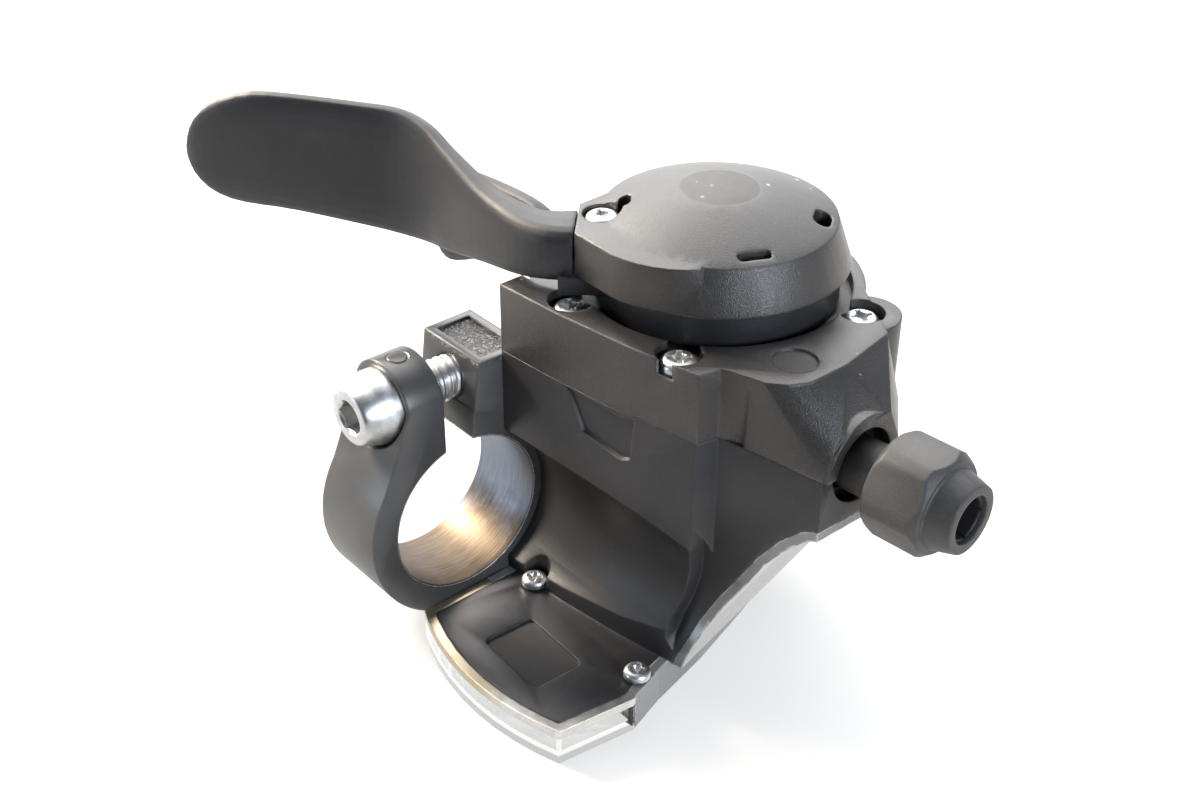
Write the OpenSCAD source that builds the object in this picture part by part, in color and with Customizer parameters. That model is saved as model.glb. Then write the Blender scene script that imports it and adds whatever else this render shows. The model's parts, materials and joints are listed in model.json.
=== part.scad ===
/* [Handlebar clamp] */
// Diameter of the handlebar that the clamp goes round
bar_d = 22.2; // [22:0.1:22.6]
// Width of the clamp band along the bar
band_w = 11.8; // [10:0.1:11.9]
// Thickness of the clamp band
band_t = 3.9; // [3:0.1:4.2]
// Length of the gap between the clamp's ear and its block
clamp_gap = 5.2; // [3.5:0.1:5.6]
// Thickness of the ear along the bolt
ear_t = 5.2; // [4:0.1:6]
// Height of the clamp bolt above the bar's centre
bolt_z = 17.5; // [17.3:0.1:19]
// Diameter of the clamp bolt's thread
bolt_d = 6; // [5:0.1:6]
// Diameter of the clamp bolt's head
bolt_head_d = 9.9; // [9:0.1:11]
// Height of the clamp bolt's head
bolt_head_h = 5.2; // [4.6:0.1:6.5]
// Depth of the clamp's block along the bolt
block_d = 7.5; // [7:0.1:8.5]
// Height of the block's top face above the bar's centre
block_top = 21.8; // [21.6:0.1:24]

/* [Lever axis] */
// Distance from the clamp's middle to the lever axis along the bar
pivot_x = 21.8; // [21.6:0.1:22]
// Distance from the bar's centre to the lever axis
pivot_y = 28.3; // [28.2:0.1:28.5]
// Diameter of the main axle
axle_d = 6; // [5.4:0.1:6.2]
// Radial clearance of each part that turns on another
run_gap = 0.05; // [0.03:0.01:0.08]

/* [Casing] */
// Height of the base cover's top face above the bar's centre
cover_z = 32; // [31.8:0.1:32.1]
// Wall thickness of the casings
wall = 1.6; // [1.3:0.1:1.8]
// Radius of the casing round the lever axis
pod_r = 18.6; // [18.5:0.1:19.2]
// Clearance between the handlebar and the casing's saddle
saddle_gap = 1.3; // [1:0.1:1.5]
// Height of the lowest face of the display below the bar's centre
display_drop = 17.8; // [17.7:0.1:18.8]
// Place of the snout's end along the bar
snout_x = 52.3; // [51.5:0.1:53]
// Width of the light trim round the display's edge
trim_w = 1.3; // [1:0.1:1.6]

/* [Main lever] */
// Distance from the lever axis to the tip of the paddle along the bar
lever_reach = 69; // [62:0.5:75]
// Height of the paddle
paddle_h = 18.2; // [14:0.1:18.4]
// Thickness of the paddle
paddle_t = 2.8; // [2.4:0.1:3.4]
// Radius of the hub cover's dome at its edge
dome_r = 14.6; // [14:0.1:14.8]
// Height of the dome's flat middle above the bar's centre
dome_z = 44.2; // [44:0.1:45.5]

/* [Release lever] */
// Distance from the lever axis to the tip of the release lever along the bar
release_reach = 61.5; // [54:0.5:66]
// Height of the release lever's trigger
trigger_h = 17.5; // [12:0.5:18]
// Thickness of the release lever's trigger
trigger_t = 3; // [2.4:0.1:3.6]

/* [Indexing] */
// Number of gears
gears = 8; // [6:1:8]
// Turn of the drum from one gear to the next, in degrees
gear_pitch = 18; // [15:1:18]
// Radius at which the cable lies on the drum
cable_r = 8; // [7.8:0.1:8.4]
// Radius of the ratchets over their teeth
ratchet_r = 10.5; // [10.2:0.1:10.8]
// Depth of the ratchets' teeth
tooth_h = 1.3; // [1:0.1:1.5]

/* [Barrel adjuster] */
// Diameter of the adjuster's knob over its ribs
knob_d = 12.9; // [12:0.1:13.4]
// Length of the knob's grip
knob_l = 7.6; // [6.5:0.1:9]
// Length of the knob's nose
nose_l = 3.1; // [2.5:0.1:4]
// Diameter of the cable housing that the ferrule takes
housing_d = 5; // [4:0.1:5.1]
// Furthest travel of the adjuster inward from its place
adjust_in = 2; // [1:0.1:2.5]

/* [Hidden] */
$fn = 72;

black = [0.14, 0.14, 0.15];
dark = [0.2, 0.2, 0.22];
gloss = [0.3, 0.33, 0.36];
silver = [0.8, 0.8, 0.78];
zinc = [0.8, 0.81, 0.82];
steel = [0.62, 0.63, 0.65];
nylon = [0.85, 0.84, 0.8];
brass = [0.72, 0.6, 0.35];
clear = [0.8, 0.9, 0.95, 0.4];

eps = 0.01;
bar_r = bar_d / 2;
band_r = bar_r + band_t;
saddle_r = bar_r + saddle_gap;
floor_z = -12.4;
seam_z = 22.5;
axle_r = axle_d / 2;
turn_r = axle_r + run_gap;

// Heights of the layers on the axle, from the partition up to the hub
partition_z = 5;
partition_t = 2;
release_z = 13.6;
release_t = 1.5;
plate_z = 15.6;
plate_t = 1.8;
hold_z = 18;
ratchet_t = 1.6;
drum_z = hold_z + ratchet_t;
drum_h = 5.4;
drive_z = drum_z + drum_h;
lever_plate_z = drive_z + 1.4 + 0.35;
lever_plate_t = 1.4;
cover_floor_z = 28.6;
cover_floor_t = 1.6;
hub_z = 33;
hub_t = 2.3;
hub_top = hub_z + hub_t;

// Stands its children at the lever axis
module at_pivot(z = 0, turn = 0) {
    translate([pivot_x, pivot_y, z]) rotate([0, 0, turn]) children();
}

// Sets its children off from the lever axis
module round_pivot(r, turn, z = 0) {
    at_pivot(0, turn) translate([r, 0, z]) children();
}

// Sweeps a view of y and z points along the bar, from x0 to x1
module along_bar(x0, x1) {
    translate([x0, 0, 0]) rotate([90, 0, 90]) linear_extrude(x1 - x0) children();
}

// Sweeps a view of x and z points across the bar, from y0 to y1
module across_bar(y0, y1) {
    translate([0, y1, 0]) rotate([90, 0, 0]) linear_extrude(y1 - y0) children();
}

function arc(r, a0, a1, n, c = [0, 0]) = [for (i = [0:n]) let (a = a0 + (a1 - a0) * i / n)
    c + r * [cos(a), sin(a)]];

// CLAMP

ear_back = -clamp_gap / 2 - 0.3;
ear_front = ear_back - ear_t;
block_front = clamp_gap / 2 + 0.2;
block_back = block_front + block_d;
fixing_y = 8.95;
fixing_z = 11.9;
fixing_r = 0.95;

// The ear that the bolt's head stands on, with its round top
module ear() intersection() {
    along_bar(-band_w / 2, band_w / 2) polygon([0.985 * band_r * [-cos(22), sin(22)], [ear_front, bolt_z + 1],
        [ear_front, bolt_z + 9], [ear_back, bolt_z + 9], [ear_back, 12], [-4, 12], [-8, 8]]);
    across_bar(-band_r - 1, 0.5) {
        translate([0, bolt_z - 0.3]) circle(d = band_w + 0.6);
        translate([-band_w / 2 - 1, 0]) square([band_w + 2, bolt_z + 1.2]);
    }
}

module ring(r, w) translate([-w / 2, 0, 0]) rotate([0, 90, 0]) cylinder(r = r, h = w);

module clamp_band() color(black) difference() {
    union() {
        ring(band_r, band_w);
        ear();
        along_bar(-band_w / 2, band_w / 2) polygon([[block_front - 1.8, 9], [block_front - 1.4, bar_r + 0.3],
            [block_front, block_top], [block_back, block_top], [block_back, 5]]);
    }
    ring(bar_r, band_w + 2);
    along_bar(-band_w, band_w) polygon([[ear_back, bar_r - 4], [ear_back, bar_r + 5], [block_front - 1, bar_r + 5],
        [block_front - 1.4, bar_r + 0.3], [block_front - 2, bar_r - 4]]);
    translate([0, ear_front - 1, bolt_z]) rotate([-90, 0, 0]) cylinder(d = bolt_d + 0.6, h = ear_t + 2);
    translate([0, ear_front - 12, bolt_z]) rotate([-90, 0, 0]) cylinder(d = bolt_head_d + 0.6, h = 12.1);
    translate([0, block_front - 2, bolt_z]) rotate([-90, 0, 0]) cylinder(d = bolt_d + 0.04, h = block_d + 1);
    translate([-band_w / 2 + 1.2, block_front + 1.2, block_top - 0.4]) cube([band_w - 2.4, block_d - 2.4, 1]);
    translate([band_w / 2 - 4, fixing_y, fixing_z]) rotate([0, 90, 0]) cylinder(r = fixing_r + 0.02, h = 5);
}

module clamp_bolt() color(zinc) translate([0, ear_front + 0.1, bolt_z]) rotate([-90, 0, 0]) difference() {
    union() {
        translate([0, 0, -bolt_head_h]) cylinder(d1 = bolt_head_d * 0.76, d2 = bolt_head_d, h = bolt_head_h - 1.4);
        translate([0, 0, -1.4]) cylinder(d = bolt_head_d, h = 1.4);
        translate([0, 0, -eps]) cylinder(d = bolt_d, h = block_front + block_d - 1.3 - ear_front);
    }
    translate([0, 0, -bolt_head_h - 1]) cylinder(d = 4.8, h = 4, $fn = 6);
}

module clamp_fixing_screw() color(zinc) translate([0, fixing_y, fixing_z]) rotate([0, 90, 0]) difference() {
    union() {
        translate([0, 0, band_w / 2 - 3.8]) cylinder(r = fixing_r, h = left_x + 2.6 + 3.8 - band_w / 2);
        translate([0, 0, left_x + 2.5]) cylinder(r = 1.65, h = 1.3);
    }
    translate([0, 0, left_x + 3.1]) cylinder(r = 0.9, h = 2, $fn = 6);
}

// A cross-head screw that stands with its head's underside at 0
module cross_screw(head_r, head_h, shank_r, length) {
    difference() {
        union() {
            translate([0, 0, -length]) cylinder(r = shank_r, h = length + eps);
            cylinder(r = head_r, h = head_h * 0.55);
            translate([0, 0, head_h * 0.55]) cylinder(r1 = head_r, r2 = head_r * 0.72, h = head_h * 0.45);
        }
        for (a = [45, 135]) rotate([0, 0, a]) translate([-head_r * 0.62, -0.3, head_h * 0.4])
            cube([head_r * 1.24, 0.6, head_h]);
    }
}

// CASING

left_x = band_w / 2 + 0.02;
corner_x = 37.4;
rear_y = pivot_y + pod_r;
screw_ring = 19.1;
screw_turns = [-112, -57, 22.5];
cover_head_z = 29.9;
saddle_screws = [[11.4, 6.6], [34.2, 4.9]];

// Plan of the casing above the seam
module plan_top(inset = 0) {
    offset(delta = -inset) {
        translate([pivot_x, pivot_y]) circle(r = pod_r);
        polygon([[left_x, 6.4], [16.6, 7.2], [27, 8.5], [corner_x, 10.5], [corner_x + 0.5, 13.4],
                 [corner_x + 2.2, 14.1], [43.2, 15.1], [45.3, 16.8], [46.5, 19.2], [46.6, 25],
                 [45, 34], [36, 40], [20, 40], [left_x, 34]]);
    }
}

// Plan of the casing below the seam, with the snout
module plan_low(inset = 0) {
    offset(delta = -inset) {
        translate([pivot_x, pivot_y]) circle(r = pod_r);
        polygon([[left_x, 6.4], [16.6, 7.2], [27, 8.5], [corner_x, 10.5], [corner_x + 0.5, 13.6],
                 [snout_x - 0.2, 16], [snout_x, 28.6], [46, 36], [36, 40], [20, 40], [left_x, 34]]);
    }
}

// Plan of the display and the shell behind it
module plan_display(inset = 0) {
    offset(delta = -inset) intersection() {
        translate([pivot_x, pivot_y]) circle(r = 39.6);
        polygon([[left_x + 0.4, -20], [33.7, -20], [36.9, 1.9], [35, 8], [32.8, 17.6], [29.4, 29],
                 [27.4, 35.2], [24, rear_y], [13, rear_y], [left_x + 1, 34], [left_x + 0.2, 20]]);
    }
}

snout_turn = 4.4;
snout_z = seam_z - 0.4;
snout_outer = 6.5;

// Stands its children on the cable's line where it leaves the drum, with z outward
module on_cable(t = 0) {
    translate([pivot_x, pivot_y, snout_z]) rotate([0, 0, snout_turn]) translate([t, -cable_r, 0])
        rotate([0, 90, 0]) children();
}

snout_y = pivot_y - cable_r / cos(snout_turn) + (50 - pivot_x) * tan(snout_turn);
boss_t = (snout_x - pivot_x - cable_r * sin(snout_turn)) / cos(snout_turn);

// The part of the snout that both halves of the casing share
module snout_bores() {
    on_cable() cylinder(r = 1.6, h = boss_t);
    on_cable(boss_t - 12) cylinder(r = stem_r + 0.4, h = 13);
    on_cable(boss_t - 2.2) cylinder(r = 4.8, h = 5);
    on_cable(nut_t) cylinder(r = nut_r / cos(30) + 0.05, h = nut_l + 0.1, $fn = 6);
}

module base_cover() color(dark) difference() {
    union() {
        difference() {
            union() {
                translate([0, 0, seam_z]) linear_extrude(cover_z - seam_z) plan_top();
                round_pivot(screw_ring + 0.6, screw_turns[2], seam_z) cylinder(r = 4.3, h = cover_z - 0.15 - seam_z);
                intersection() {
                    hull() {
                        translate([0, 0, cover_z - 2.4]) linear_extrude(2.2) intersection() {
                            plan_top(0.03);
                            translate([corner_x + 4, 12]) square([10, 22]);
                        }
                        translate([45, snout_y - 4.4, seam_z]) cube([snout_x - 45.1, 8.8, 5.2]);
                        translate([0, 0, seam_z - 1]) linear_extrude(2) intersection() {
                            plan_low();
                            translate([corner_x + 4, 12]) square([20, 23]);
                        }
                    }
                    translate([0, 0, seam_z]) cube([80, 60, 20]);
                }
            }
            translate([0, 0, seam_z - 1]) linear_extrude(cover_z - seam_z + 1 - wall) plan_top(wall);
        }
        at_pivot(cover_floor_z) cylinder(r = pod_r - 0.3, h = cover_floor_t + 0.5);
        for (a = screw_turns) round_pivot(screw_ring, a, seam_z + 0.3) cylinder(r = 2.5, h = cover_z - wall - seam_z);
        intersection() {
            on_cable(boss_t - 11) cylinder(r = snout_outer, h = 11);
            translate([0, 0, seam_z]) cube([80, 60, 20]);
        }
    }
    at_pivot(cover_floor_z + cover_floor_t) cylinder(r = hub_open_r, h = 9);
    at_pivot(20) cylinder(r = sleeve_r + 0.6, h = 20);
    at_pivot(seam_z - 1) cylinder(r = pod_r - wall - 0.3, h = cover_floor_z - seam_z + 1);
    for (a = screw_turns) {
        round_pivot(screw_ring, a, cover_head_z) cylinder(r = 2.9, h = 9);
        round_pivot(screw_ring, a, seam_z - 1) cylinder(r = 1.3, h = 20);
    }
    snout_bores();
    translate([42.1, 21.2, cover_z - 0.35]) cylinder(r = 2.7, h = 2);
    translate([left_x - 1, 10, cover_z - 0.9]) linear_extrude(3) polygon(
        [[0, 0], [4, 0], [6.5, 1], [8, 4], [8, 20], [0, 20]]);
}

hub_open_r = 17.05;
sleeve_r = 6;

// Side view of the casing below the seam, open at the front
module side_view(inset = 0) {
    polygon(concat([[-20, -display_drop + inset]],
        arc(display_drop - inset, -90, 0, 12, [rear_y - display_drop, 0]), [[rear_y - inset, 30], [-20, 30]]));
}

// The casing's right edge seen along the bar's front, from the display up to the snout
edge_points = [[34.5, floor_z], [36.4, -6.2], [38.8, -1.6], [41.9, 3.4], [44.6, 8.1], [47.4, 11.8], [50.3, 14.6]];
edge_turn = 13;

// The space left of the right edge, which leans inward toward the rear
module edge_block(grow = 0) {
    translate([42, 14, 0]) rotate([0, 0, edge_turn]) across_bar(-60, 60) scale([cos(edge_turn), 1])
        translate([-42, 0]) offset(delta = grow) polygon(concat([[-60, floor_z - 6], [33, floor_z - 6]],
            edge_points, [[52, 15.4], [80, 15.4], [80, 40], [-60, 40]]));
}

module saddle_cut(inset = 0) {
    translate([-5, 0, 0]) rotate([0, 90, 0]) cylinder(r = saddle_r + inset, h = 80, $fn = 120);
    intersection() {
        translate([-5, 0, 0]) rotate([0, 90, 0]) cylinder(r = saddle_r + 2.2 + inset, h = 80, $fn = 120);
        across_bar(-1, 30) offset(delta = inset)
            polygon([[corner_x, 30], [corner_x, 8], [35.9, 4], [33.9, -6.5], [34.1, -9], [36.4, -12], [60, -12], [60, 30]]);
    }
}

// The main case as a solid block, which shrinks by the inset
module case_block(inset = 0) {
    difference() {
        intersection() {
            translate([0, 0, floor_z - (inset > 0 ? 0.5 : 0)])
                linear_extrude(seam_z - floor_z + (inset == 0 ? 0 : 2)) plan_low(inset);
            along_bar(-1, 60) side_view(inset);
            edge_block(-inset);
        }
        saddle_cut(inset);
    }
}

// The two lower casings and the display as one solid block, which shrinks by the inset
module pod_block(inset = 0) {
    difference() {
        intersection() {
            union() {
                intersection() {
                    translate([0, 0, floor_z - 0.2]) linear_extrude(seam_z - 1 - floor_z) plan_low(inset);
                    edge_block(trim_w - inset);
                }
                translate([0, 0, -display_drop - 1]) linear_extrude(display_drop + 1 + floor_z) plan_display(inset);
            }
            along_bar(-1, 60) side_view(inset);
        }
        saddle_cut(inset);
    }
}

release_slot_z = release_z - 0.6;
post_turns = [-65, -118, 78];
post_ring = pod_r - 4.2;

module main_case() color(dark) difference() {
    union() {
        difference() {
            union() {
                case_block();
                translate([0, 0, floor_z - wall]) linear_extrude(wall) intersection() {
                    plan_display(trim_w + 0.02);
                    translate([0, -20]) square([60, 34]);
                }
            }
            case_block(wall);
        }
        intersection() {
            case_block(0.2);
            translate([0, 0, -20]) cube([80, 60, 20 + seam_z]);
            union() {
                translate([0, 0, partition_z]) linear_extrude(partition_t) plan_low(0.2);
                at_pivot(partition_z) cylinder(r = 5.5, h = 3.3);
                for (a = post_turns) round_pivot(post_ring, a, partition_z)
                    cylinder(r = 2, h = plate_z - partition_z);
                for (a = screw_turns) round_pivot(screw_ring, a, 11) cylinder(r = 2.6, h = seam_z - 11);
                translate([left_x, 5, 7]) cube([5.4, 7.5, 8.5]);
                on_cable(boss_t - 11) cylinder(r = snout_outer, h = 11);
            }
        }
        for (p = saddle_screws) translate([p[0], p[1], floor_z - wall]) intersection() {
            cylinder(r = 2.7, h = 4);
            translate([-p[0], -p[1], wall - floor_z]) case_block();
        }
    }
    at_pivot(partition_z - 1) cylinder(r = axle_r + 0.02, h = 10);
    at_pivot(partition_z - 1) rotate([0, 0, 12]) rotate_extrude(angle = 156)
        translate([pin_ring - 1.7, 0]) square([3.4, partition_t + 2]);
    translate([pivot_x, pointer_y, partition_z - 1]) cylinder(r = 1 + run_gap, h = partition_t + 2);
    for (a = post_turns) round_pivot(post_ring, a, plate_z - 7) cylinder(r = 1, h = 9);
    for (a = screw_turns) round_pivot(screw_ring, a, 13) cylinder(r = 1.12, h = 20);
    translate([0, 0, release_slot_z]) linear_extrude(release_t + 1.2) translate([0, pivot_y - 7])
        square([9, 11]);
    translate([left_x - 1, fixing_y, fixing_z]) rotate([0, 90, 0]) cylinder(r = fixing_r + 0.1, h = 8);
    translate([left_x + 2.5, fixing_y, fixing_z]) rotate([0, 90, 0]) cylinder(r = 1.75, h = 6);
    snout_bores();
    for (p = saddle_screws) {
        translate([p[0], p[1], floor_z + 0.3]) cylinder(r = 2.2, h = 8);
        translate([p[0], p[1], floor_z - 3]) cylinder(r = 1.2, h = 8);
    }
    translate([22, -2.3, floor_z - 0.35]) rotate([0, 0, -3]) linear_extrude(3) rounded(11.4, 7.5, 1);
    translate([16.6, 7.2, 0]) rotate([90, 0, atan2(1.3, 10.4)]) translate([0, 0, -0.6]) linear_extrude(3)
        polygon([[0.9, 22.3], [10.2, 21.4], [11.9, 22.1], [11.4, 16.1], [9.8, 15.5], [3.6, 16.8]]);
}

module rounded(w, d, r) {
    offset(r = r) square([w - 2 * r, d - 2 * r], center = true);
}

module top_cover() color(gloss) difference() {
    union() {
        difference() {
            pod_block();
            difference() {
                pod_block(1.3);
                translate([0, 0, -display_drop - 1]) cube([60, 60, 1 + 1.35]);
            }
            translate([-10, -30, -40]) cube([80, 30 + lens_y, 80]);
            case_block(-0.02);
            translate([0, 0, floor_z - wall - 0.02]) linear_extrude(wall + 1) intersection() {
                plan_display(trim_w);
                translate([0, -20]) square([60, 34.02]);
            }
        }
        intersection() {
            pod_block(0.3);
            for (p = saddle_screws) translate([p[0], p[1], -display_drop + 1])
                cylinder(r = 2.3, h = display_drop - 1 + floor_z - wall - 0.04);
        }
        translate([pivot_x, pointer_y, -display_drop + 1]) cylinder(r = 2.2, h = 0.5);
    }
    for (p = saddle_screws) translate([p[0], p[1], -display_drop + 1.2]) cylinder(r = 1.02, h = 9);
    translate([pivot_x, pointer_y, -display_drop + 0.6]) cylinder(r = 1 + run_gap, h = 4);
}

lens_y = 2.4;
lens_top = floor_z - wall + 0.3;

module display_front() translate([0, -20]) square([60, 20 + lens_y]);

module window_lens() color(clear) translate([0, 0, -display_drop]) difference() {
    linear_extrude(lens_top - 0.02 + display_drop) intersection() {
        plan_display();
        display_front();
    }
    translate([0, 0, 1.3]) linear_extrude(20) intersection() {
        plan_display(trim_w);
        translate([0, -20]) square([60, 30]);
    }
}

module window_trim() color(silver) translate([0, 0, lens_top]) linear_extrude(floor_z - 0.1 - lens_top) {
    difference() {
        intersection() {
            plan_display();
            display_front();
        }
        plan_display(trim_w);
    }
}

dial_z = floor_z - wall - 0.82;

module dial_plate() color(nylon) {
    difference() {
        translate([0, 0, dial_z]) linear_extrude(0.8) intersection() {
            plan_display(1.6);
            translate([0, -20]) square([60, 21.5]);
        }
    }
    for (i = [0:gears - 1]) translate([pivot_x, pointer_y, dial_z - 0.15])
        rotate([0, 0, -90 + (i - (gears - 1) / 2) * gear_pitch * pointer_ratio])
            translate([19.5, -0.3, 0]) cube([2, 0.6, 0.2]);
}

// One screw of the base cover, which stands at the given place round the lever axis
module cover_screw(a) color(zinc) round_pivot(screw_ring, a, cover_head_z) cross_screw(2.3, 1.5, 1.1, 14);
module cover_screw_left() cover_screw(screw_turns[0]);
module cover_screw_front() cover_screw(screw_turns[1]);
module cover_screw_rear() cover_screw(screw_turns[2]);

module saddle_screw(p) color(zinc) translate([p[0], p[1], floor_z + 0.3]) cross_screw(1.75, 1.1, 1, 4.4);
module saddle_screw_left() saddle_screw(saddle_screws[0]);
module saddle_screw_right() saddle_screw(saddle_screws[1]);

// AXLE AND PLATES

pin_ring = 9;
pin_r = 1;

module base_plate() color(steel) at_pivot(plate_z) difference() {
    linear_extrude(plate_t) difference() {
        circle(r = pod_r - 2.3);
        circle(r = axle_r + 0.02);
        for (a = post_turns) rotate([0, 0, a]) translate([post_ring, 0]) circle(r = 1.2);
        rotate([0, 0, hold_turn]) translate([hold_pivot_r, 0]) circle(r = 1.3);
        for (a = [150, 190]) rotate([0, 0, a]) translate([14, 0]) circle(r = 1.4);
    }
    rotate([0, 0, 12]) translate([0, 0, -1]) rotate_extrude(angle = 156)
        translate([pin_ring - 1.6, 0]) square([3.2, plate_t + 2]);
}

module plate_screw(a) color(zinc) round_pivot(post_ring, a, plate_z + plate_t) cross_screw(1.8, 0.9, 0.98, 7);
module plate_screw_left() plate_screw(post_turns[1]);
module plate_screw_right() plate_screw(post_turns[0]);
module plate_screw_rear() plate_screw(post_turns[2]);

module main_axle() color(zinc) at_pivot(partition_z - 0.5)
    cylinder(r = axle_r, h = hub_top + 4.8 - partition_z + 0.5);

module hub_washer() color(steel) at_pivot(hub_top + 0.25) difference() {
    cylinder(r = 6, h = 1);
    translate([0, 0, -1]) cylinder(r = axle_r + 0.03, h = 3);
}

module axle_nut() color(zinc) at_pivot(hub_top + 1.25) difference() {
    cylinder(r = 5.6, h = 2.8, $fn = 6);
    translate([0, 0, -1]) cylinder(r = axle_r + 0.02, h = 5);
}

hold_pivot_r = 14;
hold_turn = -20;

module pawl_pin() color(steel) round_pivot(hold_pivot_r, hold_turn, plate_z) {
    cylinder(r = 1.28, h = 6);
    translate([0, 0, hold_z + ratchet_t + 0.2 - plate_z]) cylinder(r = 1.9, h = 0.6);
}

// Points of a coil with a round wire, ring by ring
function coil_ring(r, wire, pitch, a, n) = [for (k = [0:n - 1]) let (b = 360 * k / n, d = r + wire / 2 * cos(b))
    [d * cos(a), d * sin(a), pitch * a / 360 + wire / 2 * sin(b)]];

module coil(r, wire, turns, pitch, n = 8, steps = 24) {
    last = round(turns * steps);
    points = [for (i = [0:last]) each coil_ring(r, wire, pitch, 360 * i / steps, n)];
    sides = [for (i = [0:last - 1], k = [0:n - 1]) let (m = (k + 1) % n)
        each [[i * n + k, i * n + m, (i + 1) * n + m], [i * n + k, (i + 1) * n + m, (i + 1) * n + k]]];
    polyhedron(points, concat(sides, [[for (k = [n - 1:-1:0]) k]], [[for (k = [0:n - 1]) last * n + k]]));
}

lever_coil_r = 8.4;

module lever_spring() color(steel) at_pivot(hub_top + 0.9) {
    coil(lever_coil_r, 1.1, 3, 1.25);
    translate([lever_coil_r, 0, -1.8]) cylinder(r = 0.5, h = 1.9);
}

module release_spring() color(steel) at_pivot(9) coil(5.2, 0.9, 3.5, 1.05);

module drum_spring() color(steel) at_pivot(drum_z + 1.4) linear_extrude(3) spiral(axle_r + 0.3, 5.8, 0.35, 3);

// A flat strip wound from one radius out to another
module spiral(r0, r1, t, turns, n = 90) {
    polygon(concat([for (i = [0:n]) let (a = 360 * turns * i / n) (r0 + (r1 - r0) * i / n) * [cos(a), sin(a)]],
        [for (i = [n:-1:0]) let (a = 360 * turns * i / n) (r0 + t + (r1 - r0) * i / n) * [cos(a), sin(a)]]));
}

// MAIN LEVER

split_turn = -135;
split_r = 17.1;
arm_top = 41;
arm_foot = 33.7;
skirt_z = hub_top;
skirt_r = dome_r + 1.96;
dome_edge_z = 40.85;
paddle_mid = 36.9;

// Stations of the lever from its root to the tip: x and y of the middle, height of the middle,
// half the height and the thickness
tip_x = pivot_x - lever_reach;
stations = [
    [11.9, 13.7, (arm_top + arm_foot) / 2, (arm_top - arm_foot) / 2, 7.8],
    [9.8, 11.7, 37.2, 3.75, 7.2],
    [6, 10.3, 36.8, 4.2, 5.4],
    [-1, 10, 36.5, 5.2, 4],
    [-9, 10.5, 36.4, 7.2, 3.1],
    [-14.5, 10.9, 36.7, 8.5, paddle_t],
    [-19.5, 10, paddle_mid, paddle_h / 2, paddle_t],
    [tip_x + 22, 6.9, paddle_mid + 0.2, paddle_h / 2 - 0.2, paddle_t],
    [tip_x + 11.3, -0.4, paddle_mid + 0.7, paddle_h / 2 - 0.7, paddle_t],
    [tip_x + 3.2, -5.2, paddle_mid - 0.6, paddle_h / 2 - 0.7, paddle_t],
    [tip_x, -6.6, paddle_mid - 1.4, paddle_h / 2 - 0.7, paddle_t]
];

// A point on a smooth curve through the rows of a list, at row i plus the fraction u
function smooth(p, i, u) = let (n = len(p) - 1, b = p[i], c = p[min(i + 1, n)],
    s = (c - p[max(i - 1, 0)]) / 2, e = (p[min(i + 2, n)] - b) / 2)
    (2 * u ^ 3 - 3 * u ^ 2 + 1) * b + (u ^ 3 - 2 * u ^ 2 + u) * s
    + (3 * u ^ 2 - 2 * u ^ 3) * c + (u ^ 3 - u ^ 2) * e;

function row(p, t) = smooth(p, min(floor(t), len(p) - 2), t - min(floor(t), len(p) - 2));

function blunt(v, e) = sign(v) * pow(abs(v), e);

// The outline of the blade across its length at t, squared off by the exponent and drawn in by the factor
function blade_ring(p, t, squash, n, e) = let (q = row(p, t), f = row(p, t + 0.02), b = row(p, t - 0.02),
    d = f - b, l = norm([d[0], d[1]]), side = [-d[1], d[0]] / l)
    [for (k = [0:n - 1]) let (a = 360 * k / n, w = blunt(cos(a), e) * q[4] / 2 * (0.35 + 0.65 * squash),
        h = blunt(sin(a), e) * q[3] * squash) [q[0] + side[0] * w, q[1] + side[1] * w, q[2] + h]];

module blade(p, steps, n, round_from, e = 0.55) {
    last = len(p) - 1;
    ts = [for (i = [0:steps]) 0.02 + (last - 0.04) * i / steps];
    ends = [for (t = ts) let (x = row(p, t)[0], x0 = p[round_from][0], x1 = p[last][0], u = (x0 - x) / (x0 - x1))
        u <= 0 ? 1 : pow(max(0.02, 1 - pow(u, 2.2)), 0.5)];
    points = [for (i = [0:steps]) each blade_ring(p, ts[i], ends[i], n, e)];
    sides = [for (i = [0:steps - 1], k = [0:n - 1]) let (m = (k + 1) % n)
        each [[i * n + k, (i + 1) * n + m, i * n + m], [i * n + k, (i + 1) * n + k, (i + 1) * n + m]]];
    polyhedron(points, concat(sides, [[for (k = [0:n - 1]) k]], [[for (k = [n - 1:-1:0]) steps * n + k]]));
}

module main_lever() color(black) difference() {
    union() {
        blade(stations, 44, 20, 8);
        at_pivot(hub_z) cylinder(r = 15.4, h = hub_t);
        at_pivot(hub_z - 2.2) difference() {
            cylinder(r = 15.4, h = 3);
            translate([0, 0, -1]) cylinder(r = 14, h = 5);
        }
        at_pivot(lever_plate_z + lever_plate_t) cylinder(r = sleeve_r, h = hub_z - lever_plate_z - lever_plate_t + eps);
        at_pivot(lever_plate_z) cylinder(r = 5.2, h = 2, $fn = 6);
        at_pivot(hub_z, split_turn) translate([8, -1.6, 0]) cube([split_r - 6, 9.6, hub_t]);
    }
    at_pivot(20) cylinder(r = turn_r, h = 30);
    round_pivot(14.3, -128, hub_z - 1) cylinder(r = 1, h = 5);
    round_pivot(lever_coil_r, 0, hub_z + 1) cylinder(r = 0.55, h = 5);
}

// The upper outline of the hub cover as a turned profile, from the middle to the skirt
function dome_profile(inset) = concat([[0, dome_z - inset]],
    [for (i = [0:6]) let (u = i / 6, r = 4.9 + (dome_r - 4.9) * u - inset * u)
        [r, dome_z - inset - (dome_z - dome_edge_z) * (0.7 * u + 0.3 * u * u)]],
    [[skirt_r - inset, skirt_z - (inset > 0 ? 1 : 0)], [0, skirt_z - (inset > 0 ? 1 : 0)]]);

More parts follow.
